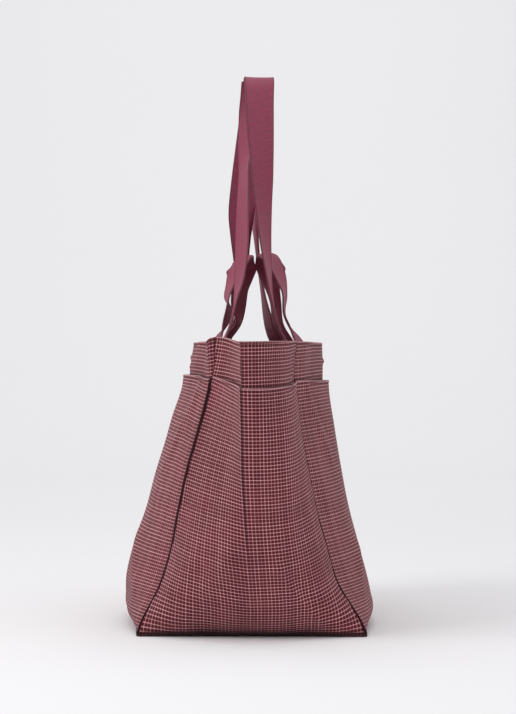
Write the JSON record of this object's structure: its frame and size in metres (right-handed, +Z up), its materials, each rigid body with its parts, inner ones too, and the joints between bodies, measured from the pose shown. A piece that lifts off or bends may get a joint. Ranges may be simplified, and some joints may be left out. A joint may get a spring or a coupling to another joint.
{
  "type": "shopper bag",
  "caption": "Tall soft cloth tote with an outer pocket layer all round, long webbing shoulder straps and short hand handles held upright.",
  "frame": {"origin": "centre of the base's underside, on the surface that the bag stands on", "axes": "+Z up; the bag's length lies along Y and its depth along X; the near end in the picture faces -Y"},
  "size_m": [0.3068, 0.5432, 0.679],
  "materials": {
    "body_cloth": "matt maroon cloth with a fine pale grid check",
    "pocket_cloth": "matt maroon cloth with a fine pale grid check",
    "base_cloth": "matt maroon cloth with a fine pale grid check, folded edge",
    "webbing": "plum ribbed flat webbing with a slight sheen"
  },
  "bodies": {
    "root": {"base_panel": "base_cloth", "face_panel_left": "body_cloth", "face_panel_right": "body_cloth", "gusset_near": "body_cloth", "gusset_far": "body_cloth", "pocket_face_left": "pocket_cloth", "pocket_face_right": "pocket_cloth", "pocket_end_near": "pocket_cloth", "pocket_end_far": "pocket_cloth", "long_strap_left": "webbing", "long_strap_right": "webbing", "short_handle_left": "webbing", "short_handle_right": "webbing"}
  },
  "joints": []
}
